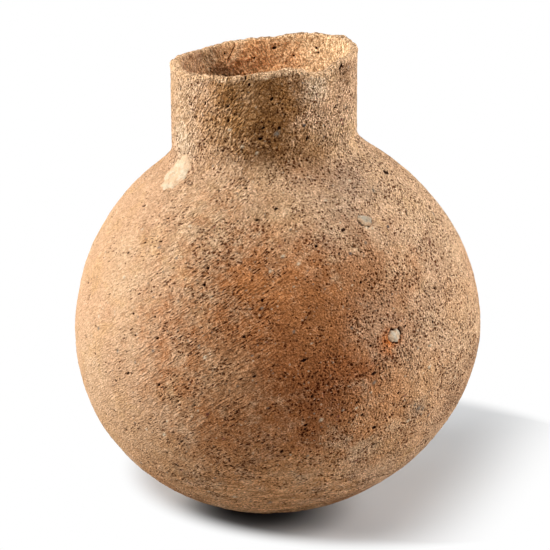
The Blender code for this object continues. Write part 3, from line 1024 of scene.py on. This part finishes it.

# Ramps: low and high end, and the values there.
# At the left edge the painted shade of the grain and its pores is weakest.
SMOOTH_SIDE = -0.090         # the left edge, where the skin is smoothest
SIDE_TONE = (SMOOTH_SIDE, -0.010, 0.65, 1.35)
SIDE_CROWD = (SMOOTH_SIDE, -0.020, -0.20, 0.04)
SIDE_RELIEF = (SMOOTH_SIDE, -0.040, 0.55, 1.0)
NECK_FADE = (0.188, 0.198)
NECK_CROWD = (0.185, 0.205, 0.0, 0.02)
DRAG_FADE = (0.030, -0.015)
DRAG_TONE = (0.0, 1.0, 0.45, 1.0)
DRAG_CROWD = (0.0, 1.0, 0.05, -0.08)
DRAG_NICKS = (0.0, 1.0, -0.15, 0.04)
RING_FADE = (0.060, 0.030)
LIP_DRAG = (0.0, 1.0, 1.0, 0.1)
LIP_PORES = (0.0, 1.0, 1.0, 0.5)
LINING_EDGE = (0.6, 1.0)
LINING_PORES = (0.5, 1.0, 1.0, 0.45)
LINING_BUMP = (0.5, 1.0, 1.0, 0.6)
SOAK = (0.80, 1.35, 1.10, 0.78)
# The tone ramps below darken the low places of the bump as painted shade.
ROUGH_TONE = (0.25, 0.75, 0.82, 1.18)
CRUMB_TONE = (0.30, 0.70, 0.72, 1.24)
STREAK_TONE = (0.30, 0.70, 0.92, 1.08)
SAND_TONE = (0.0, 1.0, 0.84, 1.16)
PIT_EDGE = (0.42, 0.72)
ROUGHNESS = (0.2, 0.8, 0.82, 0.98)
GLOSS = (0.0, 1.0, 0.10, 0.0)
STONE_TONE = (0.3, 0.7, 0.85, 1.12)
STONE_ROUGHNESS = (0.2, 0.8, 0.65, 0.9)
RUB_SHARE = (0.0, 0.8)

# Shares of one thing in another.
ROUGH_SOAK = 1.6
SAND_SOAK = 0.5
LIP_SHARE = 0.9
FLECK_SHARE = 0.22
PORE_SHARE = 0.95
NECK_TONE = 0.45
NECK_UNEVEN = 0.8
ROUGH_RELIEF = 0.5
LUMP_RELIEF = 0.6
STREAK_RELIEF = 0.5
SAND_RELIEF = 0.10
PORE_RELIEF = -0.95
BUMP_HEIGHT = 0.0009

# Temper: random number that picks a grain, colour, ramps of its edge and of the pick, and strength.
GRIT = (
    ("Red", WHITE_GRAIN, (0.24, 0.10), (0.84, 0.88), 0.45),
    ("Green", GREY_GRAIN, (0.22, 0.12), (0.90, 0.94), 0.6),
)

# Pores: size of a cell, share of the cells left whole, and width.
PORE = (0.0021, 0.52, 0.34)
PINHOLE = (0.0012, 0.44, 0.45)
NICK = (0.0012, 0.50, 0.38)
FLECK = (0.0017, 0.50, 0.30)
PORE_START = -0.15
PORE_CORE = (0.03, -0.05)
PORE_SLOPE = (0.20, -0.14)

# Colours of the clay.
BUFF = (0.74, 0.475, 0.278)
PINK = (0.70, 0.42, 0.242)
OCHRE = (0.70, 0.41, 0.18)
LINING = (0.84, 0.53, 0.285)
DEEP_LINING_PAINTED_SHADE = (0.78, 0.40, 0.18)
# Painted shade in the hollows: the first darkens pores, the second pits, the sockets round the stones and
# the ridge's groove.
PORE_PAINTED_SHADE = (0.20, 0.10, 0.06)
PIT_PAINTED_SHADE = (0.06, 0.035, 0.025)
# Worn edges, lightened partly as a painted highlight.
WORN_AND_LIT_EDGE = (0.93, 0.58, 0.325)
# Dark grain grows warmer, as painted bounce light in its low places.
TONE_POWERS = {"X": 0.90, "Y": 1.05, "Z": 1.25}

# Firing patches, and at 274 degrees and 198 mm one of painted shade at the foot of the neck: angle, height
# and reach in mm, colour and strength. Large ones are warped.
WARPED_REACH = 25
PATCHES = (
    (273, 114, 100, (0.51, 0.19, 0.060), 0.92),
    (281, 110, 66, (0.39, 0.128, 0.035), 0.74),
    (280, 101, 40, (0.33, 0.105, 0.030), 0.60),
    (287, 94, 28, (0.32, 0.10, 0.030), 0.60),
    (274, 147, 34, (0.58, 0.22, 0.068), 0.65),
    (288, 132, 48, (0.40, 0.155, 0.053), 0.65),
    (268, 214, 42, (0.52, 0.24, 0.072), 0.88),
    (276, 213, 18, (0.25, 0.10, 0.024), 0.80),
    # This patch is painted shade at the foot of the neck.
    (274, 198, 20, (0.25, 0.105, 0.028), 0.78),
    (293, 186, 20, (0.40, 0.18, 0.075), 0.65),
    (260, 58, 46, (0.47, 0.175, 0.054), 0.70),
    (225, 46, 52, (0.60, 0.35, 0.18), 0.60),
    (302, 229, 13, (0.80, 0.58, 0.38), 0.75),
    (326, 120, 62, (0.68, 0.42, 0.25), 0.70),
    (343, 70, 40, (0.38, 0.20, 0.10), 0.75),
    (310, 70, 46, (0.64, 0.33, 0.15), 0.65),
    (302, 172, 36, (0.64, 0.43, 0.28), 0.60),
    (312, 182, 26, (0.47, 0.295, 0.185), 0.65),
    (303, 143, 30, (0.55, 0.26, 0.115), 0.60),
    (314, 74, 10, (0.40, 0.28, 0.19), 0.50),
    (329, 231, 13, (0.30, 0.15, 0.07), 0.75),
    (273, 230, 14, (0.24, 0.095, 0.022), 0.80),
    (252, 229, 13, (0.34, 0.145, 0.036), 0.65),
    (289, 229, 11, (0.28, 0.115, 0.03), 0.65),
    (302, 195, 18, (0.38, 0.19, 0.075), 0.65),
    (272, 187, 12, (0.74, 0.50, 0.30), 0.45),
    (338, 115, 28, (0.62, 0.33, 0.15), 0.40),
    (297, 76, 22, (0.64, 0.27, 0.10), 0.50),
    (284, 48, 26, (0.80, 0.42, 0.20), 0.50),
    (300, 120, 24, (0.64, 0.39, 0.24), 0.50),
    (257, 98, 24, (0.74, 0.46, 0.25), 0.30),
    (275, 174, 26, (0.72, 0.48, 0.28), 0.40),
    (302, 112.5, 9, (0.66, 0.19, 0.035), 0.95),
    (209, 200, 16, (0.80, 0.60, 0.40), 0.60),
    (270, 22, 60, (0.76, 0.37, 0.15), 0.75),
    (232, 26, 40, (0.58, 0.29, 0.125), 0.60),
    (216, 16, 26, (0.52, 0.24, 0.10), 0.70),
    (311, 14, 20, (0.42, 0.18, 0.07), 0.80),
    (32, 128, 44, (0.62, 0.33, 0.15), 0.60),
    (48, 66, 40, (0.46, 0.20, 0.08), 0.60),
    (76, 165, 40, (0.60, 0.36, 0.20), 0.55),
    (98, 100, 80, (0.58, 0.27, 0.10), 0.70),
    (110, 112, 44, (0.42, 0.16, 0.055), 0.60),
    (138, 52, 46, (0.50, 0.23, 0.09), 0.60),
    (157, 140, 34, (0.64, 0.38, 0.20), 0.60),
    (62, 212, 30, (0.50, 0.25, 0.10), 0.60),
    (140, 204, 24, (0.42, 0.20, 0.08), 0.55),
    (85, 30, 36, (0.66, 0.34, 0.15), 0.60),
)
# Patches of the lining, in the same columns: the dark ones at 129 and 120 degrees are painted shade deep in
# the neck beside the ridge, and the bright one at 94 degrees is painted light on the back of the lining.
LINING_PATCHES = (
    (158, 226, 24, (0.40, 0.22, 0.13), 0.80),
    (129, 233, 13, (0.15, 0.095, 0.06), 0.92),
    (94, 222, 32, (0.88, 0.43, 0.18), 0.90),
    (120, 219, 15, (0.07, 0.035, 0.02), 0.97),
)


class ClayFinish(NodeTree):
    """Coarse unglazed clay: mottled colour, patches, painted shade in its low places, grit, pores and rough
    grain.
    """

    def __init__(self):
        self.finish = bpy.data.materials.new("fired_clay_finish")
        super().__init__(self.finish)
        self.position = self.add("TexCoord").outputs["Object"]
        self.wipe = self.attribute("wipe", "Vector")
        self.inside = self.attribute("inside")
        self.lip = self.attribute("lip")
        self.aside = self.axis(self.position, "X")
        self.level = self.axis(self.position, "Z")
        self.neck = self.ramp(self.level, *NECK_FADE)
        dragged = self.largest(self.ramp(self.aside, *DRAG_FADE), self.times(self.neck, NECK_DRAGGED))
        self.dragged = self.times(dragged, self.ramp(self.lip, *LIP_DRAG))
        self.rough = self.noise(self.position, *ROUGH)
        self.sand = self.cells(self.position, SAND_SIZE)[1]["Red"]
        self.streak = self.noise(self.wipe, *STREAK)
        self.slant = self.vector("MULTIPLY", self.wipe, BODY_DRAG)
        plain = self.noise(self.position, *CRUMB)
        body = self.noise(self.slant, *CRUMB)
        neck = self.noise(self.vector("MULTIPLY", self.wipe, NECK_DRAG), *NECK_CRUMB)
        drag = self.blend(self.neck, body, neck)
        self.crumbs = self.blend(self.times(self.dragged, CRUMBS_DRAGGED), plain, drag)

    def stained(self, shade, patches, blotted):
        """Add patches with broken edges that soak into the low places of the grain."""
        raised = self.plus(self.times(self.rough, ROUGH_SOAK), self.times(self.sand, SAND_SOAK))
        soak = self.ramp(raised, *SOAK)
        broken = self.layer(self.position, *PATCH_EDGE)
        for angle, height, reach, tint, strength in patches:
            centre = skin_frame(angle, height / 1000)[0]
            place = blotted if reach > WARPED_REACH else self.position
            away = self.plus(self.measure("DISTANCE", place, centre), self.times(broken, reach / 1000))
            mask = self.ramp(away, reach / 1000, reach / 6000)
            shade = self.mix(self.times(mask, strength, soak), shade, tint)
        return shade

    def ground(self):
        """Mottled clay with its patches, the lining with its own and its painted light and shade, and the
        worn lip with its painted highlight.
        """
        drift = self.vector("SUBTRACT", self.noise(self.position, *WARP, output="Color"), (0.5, 0.5, 0.5))
        blotted = self.vector("ADD", self.position, self.sized(drift, WARP_REACH))
        shade = self.mix(self.layer(self.position, *MOTTLE), BUFF, PINK)
        shade = self.mix(self.layer(blotted, *OCHRE_SPOTS), shade, OCHRE)
        shade = self.stained(shade, PATCHES, blotted)
        # The lining darkens deeper in the neck as painted shade.
        lining = self.mix(self.ramp(self.level, RIM_HEIGHT, NECK_FOOT), LINING, DEEP_LINING_PAINTED_SHADE)
        lining = self.stained(lining, LINING_PATCHES, blotted)
        shade = self.mix(self.ramp(self.inside, *LINING_EDGE), shade, lining)
        # The lip and the ridge's edge are lightened for wear and as a painted highlight.
        return self.mix(self.times(self.lip, LIP_SHARE), shade, WORN_AND_LIT_EDGE)

    def tone(self):
        """Light and dark of the grain, partly random and partly darker in the low places of the bump as
        painted shade, and warmer where it is dark as painted bounce light.
        """
        sharp = self.plus(self.ramp(self.dragged, *DRAG_TONE), self.times(self.neck, NECK_TONE))
        rings = self.layer(self.vector("MULTIPLY", self.position, RING_STRETCH), *RINGS)
        value = self.times(
            self.layer(self.position, *CLOUD),
            self.ramp(self.rough, *ROUGH_TONE),
            self.power(self.ramp(self.crumbs, *CRUMB_TONE), sharp),
            self.ramp(self.streak, *STREAK_TONE),
            self.ramp(self.sand, *SAND_TONE),
            self.plus(self.times(rings, self.ramp(self.level, *RING_FADE)), 1.0),
        )
        value = self.power(value, self.ramp(self.aside, *SIDE_TONE))
        parts = {axis: self.power(value, exponent) for axis, exponent in TONE_POWERS.items()}
        return self.add("CombineXYZ", parts).outputs[0]

    def gritty(self, shade):
        """Add pale and dark grains of temper."""
        away, picks = self.cells(self.position, GRIT_SIZE)
        for pick, tint, edge, chosen, strength in GRIT:
            mask = self.times(self.ramp(away, *edge), self.ramp(picks[pick], *chosen), strength)
            shade = self.mix(mask, shade, tint)
        return shade

    def holes(self):
        """Core and slope of the pores, and pale flecks among them."""
        crowd = self.plus(
            self.layer(self.position, *CROWD),
            self.ramp(self.level, *NECK_CROWD),
            self.ramp(self.aside, *SIDE_CROWD),
        )
        tear = self.sized(self.noise(self.position, *TEAR, output="Color"), TEAR_REACH)
        torn = self.vector("ADD", self.position, tear)
        round_crowd = self.plus(crowd, self.ramp(self.dragged, *DRAG_CROWD))
        nick_crowd = self.plus(crowd, self.ramp(self.dragged, *DRAG_NICKS))
        cores, slopes = zip(
            self.pores(torn, round_crowd, *PORE),
            self.pores(torn, round_crowd, *PINHOLE),
            self.pores(self.slant, nick_crowd, *NICK),
        )
        shown = self.ramp(self.lip, *LIP_PORES), self.ramp(self.inside, *LINING_PORES)
        core = self.times(self.largest(*cores), *shown)
        return core, self.largest(*slopes), self.pores(torn, crowd, *FLECK)[0]

    def relief(self, slope):
        """Height of the grain that is too fine for the mesh."""
        uneven = self.plus(self.layer(self.position, *UNEVEN), self.times(self.neck, NECK_UNEVEN))
        uneven = self.times(uneven, self.ramp(self.aside, *SIDE_RELIEF))
        return self.plus(
            self.times(self.rough, ROUGH_RELIEF),
            self.times(self.noise(self.position, *LUMP), LUMP_RELIEF),
            self.times(self.streak, STREAK_RELIEF),
            self.times(self.crumbs, uneven),
            self.times(self.sand, SAND_RELIEF),
            self.times(slope, PORE_RELIEF),
        )

    def finished(self):
        """The whole material."""
        core, slope, fleck = self.holes()
        shade = self.gritty(self.mix(1.0, self.ground(), self.tone(), "MULTIPLY"))
        shade = self.mix(self.times(fleck, FLECK_SHARE), shade, WHITE_GRAIN)
        # Pores and pits are darkened here as painted shade in their hollows.
        shade = self.mix(self.times(core, PORE_SHARE), shade, PORE_PAINTED_SHADE, "MULTIPLY")
        shade = self.mix(self.ramp(self.attribute("pit"), *PIT_EDGE), shade, PIT_PAINTED_SHADE, "MULTIPLY")
        shade = self.mix(self.attribute("grain", "Alpha"), shade, self.attribute("grain", "Color"))
        bump = (self.relief(slope), self.ramp(self.inside, *LINING_BUMP), BUMP_HEIGHT)
        self.surface(shade, self.ramp(self.rough, *ROUGHNESS), self.ramp(core, *GLOSS), bump)
        return self.finish


# Light and dark tone of the stones and the lime.
STONE_TONES = {
    "pale_stone": ((0.66, 0.56, 0.42), (0.50, 0.41, 0.30)),
    "grey_stone": ((0.52, 0.43, 0.32), (0.38, 0.30, 0.21)),
    "lime": ((0.78, 0.65, 0.47), (0.66, 0.50, 0.32)),
}
STONE_BUMP = (0.5, 0.0003)
STONE_GLOSS = 0.25


def stone_material(slot, rub=None):
    """Weathered stone with a stain of clay, and rubbed with it between these heights and above."""
    light, dark = STONE_TONES[slot]
    finish = bpy.data.materials.new(slot + "_finish")
    tree = NodeTree(finish)
    position = tree.add("TexCoord").outputs["Object"]
    shade = tree.mix(tree.layer(position, *STONE_MOTTLE), dark, light)
    stained = tree.layer(position, *STONE_STAIN)
    if rub:
        stained = tree.largest(stained, tree.ramp(tree.axis(position, "Z"), *rub, *RUB_SHARE))
    fine = tree.noise(position, *STONE_GRAIN)
    shade = tree.sized(tree.mix(stained, shade, BUFF), tree.ramp(fine, *STONE_TONE))
    tree.surface(shade, tree.ramp(fine, *STONE_ROUGHNESS), STONE_GLOSS, (fine, *STONE_BUMP))
    return finish


# Light: azimuth from the camera's side, positive to the viewer's right, elevation, level and size.
LAMPS = (
    ("left_key", -86, 30, 0.42, 0.40),
    ("front_key", -60, 30, 0.40, 0.40),
    ("left_low", -105, 10, 0.47, 0.45),
    ("right_low", 78, 12, 0.66, 0.45),
    ("right_key", 84, 32, 0.32, 0.50),
    ("right_back", 140, 22, 0.35, 0.60),
    ("top", -35, 66, 0.27, 0.70),
)
LAMP_DISTANCE = 1.3
LAMP_AIM = Vector((0.0, 0.0, 0.10))
AMBIENT = 0.03
WHITE = (1.0, 1.0, 1.0, 1.0)

# Floor: colours from near to far, darkened round the jar's foot as a painted shadow, and the reach of the
# real shadow that it keeps.
FLOOR_BOUNCE = (0.50, 0.15)
BOUNCE_REACH = (0.15, 0.50)
FLOOR_SHOWN = (0.10, 0.70)
FLOOR_TINT = (0.955, 0.98, 1.0)
PAINTED_SHADOW_CENTRE = Vector((-0.012, -0.024, 0.0))
PAINTED_SHADOW_REACH = (0.012, 0.055)
FLOOR_SIZE = 8.0
SHADOW_CENTRE = Vector((0.045, 0.05, 0.0))
SHADOW_REACH = (0.110, 0.132)
SHADOW_ACROSS = Vector((1.0, -0.35, 0.0))
SHADOW_FADE = (0.065, 0.135)

# Camera of the photo.
CAMERA_TARGET = Vector((-0.0015, 0.0, 0.121))
CAMERA_DISTANCE = 1.6
CAMERA_ELEVATION = 16.27
CAMERA_LENS = 203.08
SENSOR_WIDTH = 36.0


def direction(azimuth, elevation):
    """Unit vector towards a place round the object; azimuth 0 is the camera's side."""
    turn, rise = math.radians(azimuth), math.radians(elevation)
    return Vector((math.sin(turn) * math.cos(rise), -math.cos(turn) * math.cos(rise), math.sin(rise)))


def look(thing, aim):
    """Turn a lamp or camera to a point."""
    thing.rotation_euler = (aim - thing.location).to_track_quat("-Z", "Y").to_euler()


def add_lamps():
    """Soft square lamps; a white surface that faces one shows its level."""
    for name, azimuth, elevation, level, size in LAMPS:
        lamp = bpy.data.lights.new(name, "AREA")
        lamp.shape = "SQUARE"
        lamp.size = size
        lamp.energy = math.pi ** 2 * LAMP_DISTANCE ** 2 * level
        thing = bpy.data.objects.new(name, lamp)
        bpy.context.scene.collection.objects.link(thing)
        thing.location = LAMP_AIM + LAMP_DISTANCE * direction(azimuth, elevation)
        look(thing, LAMP_AIM)


def seen_directly(tree):
    """1 for rays that show the background: from the camera, or by gloss or glass."""
    path = tree.add("LightPath")
    kinds = ("Is Camera Ray", "Is Glossy Ray", "Is Transmission Ray")
    return tree.largest(*(path.outputs[kind] for kind in kinds))


def add_world():
    """White to look at, with little light of its own."""
    world = bpy.data.worlds.new("studio")
    bpy.context.scene.world = world
    tree = NodeTree(world)
    strength = tree.ramp(seen_directly(tree), 0.0, 1.0, AMBIENT, 1.0)
    back = tree.add("Background", {"Color": WHITE, "Strength": strength})
    tree.add("OutputWorld", {"Surface": back.outputs["Background"]})


def add_floor():
    """A pale floor that keeps the shadow near the jar, darkened round its foot as a painted shadow, and is
    white further off.
    """
    bpy.ops.mesh.primitive_plane_add(size=FLOOR_SIZE)
    floor = bpy.context.object
    floor.name = "floor"
    finish = bpy.data.materials.new("floor_finish")
    tree = NodeTree(finish)
    position = tree.add("TexCoord").outputs["Object"]
    far = tree.largest(
        tree.ramp(tree.measure("DISTANCE", position, SHADOW_CENTRE), *SHADOW_REACH),
        tree.ramp(tree.measure("DOT_PRODUCT", position, SHADOW_ACROSS), *SHADOW_FADE),
    )
    # Painted shadow: the floor's colour darkens round the jar's foot.
    painted_contact_shadow = tree.ramp(tree.measure("DISTANCE", position, PAINTED_SHADOW_CENTRE), *PAINTED_SHADOW_REACH, *FLOOR_SHOWN)
    near = tree.add("BsdfDiffuse", {"Color": tree.sized(FLOOR_TINT, painted_contact_shadow)})
    white = tree.add("Emission", {"Color": WHITE, "Strength": 1.0})
    shown = tree.add("MixShader", {0: far, 1: near.outputs[0], 2: white.outputs[0]})
    away = tree.measure("DISTANCE", position, (0.0, 0.0, 0.0))
    bounce = tree.add("BsdfDiffuse", {"Color": tree.ramp(away, *BOUNCE_REACH, *FLOOR_BOUNCE)})
    surface = tree.add("MixShader", {0: seen_directly(tree), 1: bounce.outputs[0], 2: shown.outputs[0]})
    tree.add("OutputMaterial", {"Surface": surface.outputs[0]})
    floor.data.materials.append(finish)


def add_camera():
    """A long lens, a little above the rim."""
    lens = bpy.data.cameras.new("camera")
    lens.lens = CAMERA_LENS
    lens.sensor_width = SENSOR_WIDTH
    camera = bpy.data.objects.new("camera", lens)
    bpy.context.scene.collection.objects.link(camera)
    camera.location = CAMERA_TARGET + CAMERA_DISTANCE * direction(0.0, CAMERA_ELEVATION)
    look(camera, CAMERA_TARGET)
    bpy.context.scene.camera = camera


def add_jar():
    """All pieces of the jar."""
    clay = ClayFinish().finished()
    for node, bottom, top, count, outer_step, inner_step in STRAPS:
        profile = strap_profile(bottom, top, outer_step / 1000, inner_step / 1000)
        add_clay(node, profile, count, bottom is not None, clay)
    count, outer_step, inner_step = RIM_MESH
    add_clay("rim_lip", rim_profile(outer_step / 1000, inner_step / 1000), count, True, clay)
    for index, (node, slot, angle, height, size, proud) in enumerate(PEBBLES):
        seed = PEBBLE_SEED + 10 * index
        add_pebble(node, angle, height, size, proud, stone_material(slot), seed)
    add_crust(stone_material("lime", CRUST_RUB))


def main():
    add_jar()
    add_floor()
    add_lamps()
    add_world()
    add_camera()
    bpy.context.scene.view_settings.view_transform = "Standard"


main()
